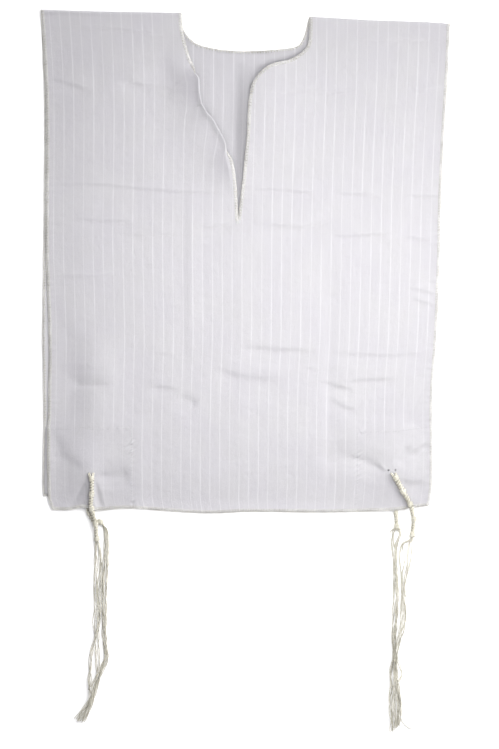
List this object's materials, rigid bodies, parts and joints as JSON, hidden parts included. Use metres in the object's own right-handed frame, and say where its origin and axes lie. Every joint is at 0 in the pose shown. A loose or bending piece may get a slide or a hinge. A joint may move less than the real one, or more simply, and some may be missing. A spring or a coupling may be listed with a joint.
{
  "type": "tallit katan",
  "caption": "Fringed cotton undergarment laid flat: a long panel folded at the shoulders, with a slit neck, corner patches and knotted corner tassels.",
  "frame": {"origin": "centre of the bounding box in plan, on the surface that the garment lies on", "axes": "+Z out of the cloth towards the viewer, +Y from the hem to the shoulders, +X to the right as seen from above"},
  "size_m": [0.5045, 0.8923, 0.0175],
  "materials": {
    "cloth": "white cotton with fine woven stripes, matt",
    "patch": "the same white cotton, matt",
    "tassel_thread": "ecru plied thread, matt"
  },
  "bodies": {
    "root": {"front_panel": "cloth", "back_panel": "cloth", "patch_front_left": "patch", "patch_front_right": "patch", "patch_back_left": "patch", "patch_back_right": "patch", "tassel_front_left": "tassel_thread", "tassel_back_left": "tassel_thread", "tassel_front_right": "tassel_thread", "tassel_back_right": "tassel_thread"}
  },
  "joints": []
}
